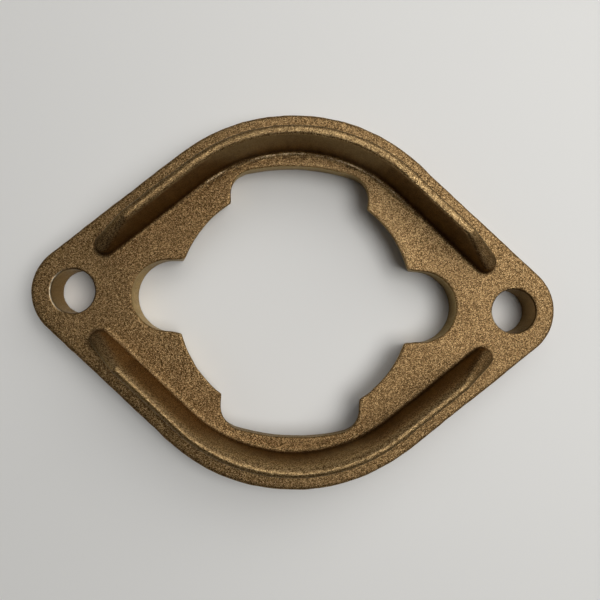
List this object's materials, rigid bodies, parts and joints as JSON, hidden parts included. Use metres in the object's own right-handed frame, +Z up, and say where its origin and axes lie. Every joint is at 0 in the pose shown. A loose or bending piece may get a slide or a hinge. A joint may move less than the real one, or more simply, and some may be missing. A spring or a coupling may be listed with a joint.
{
  "type": "seacock clamping flange",
  "caption": "Diamond-shaped cast bronze clamping flange with lug holes, a lobed through opening and tall stiffening ribs along its long edges.",
  "frame": {"origin": "middle of the flat underside", "axes": "+X from lug to lug, +Z up out of the ribbed face, +Y towards one rib"},
  "size_m": [0.1428, 0.1024, 0.0225],
  "materials": {
    "bronze": "as sand cast, unmachined, golden brown"
  },
  "bodies": {
    "root": {"flange_casting": "bronze"}
  },
  "joints": []
}
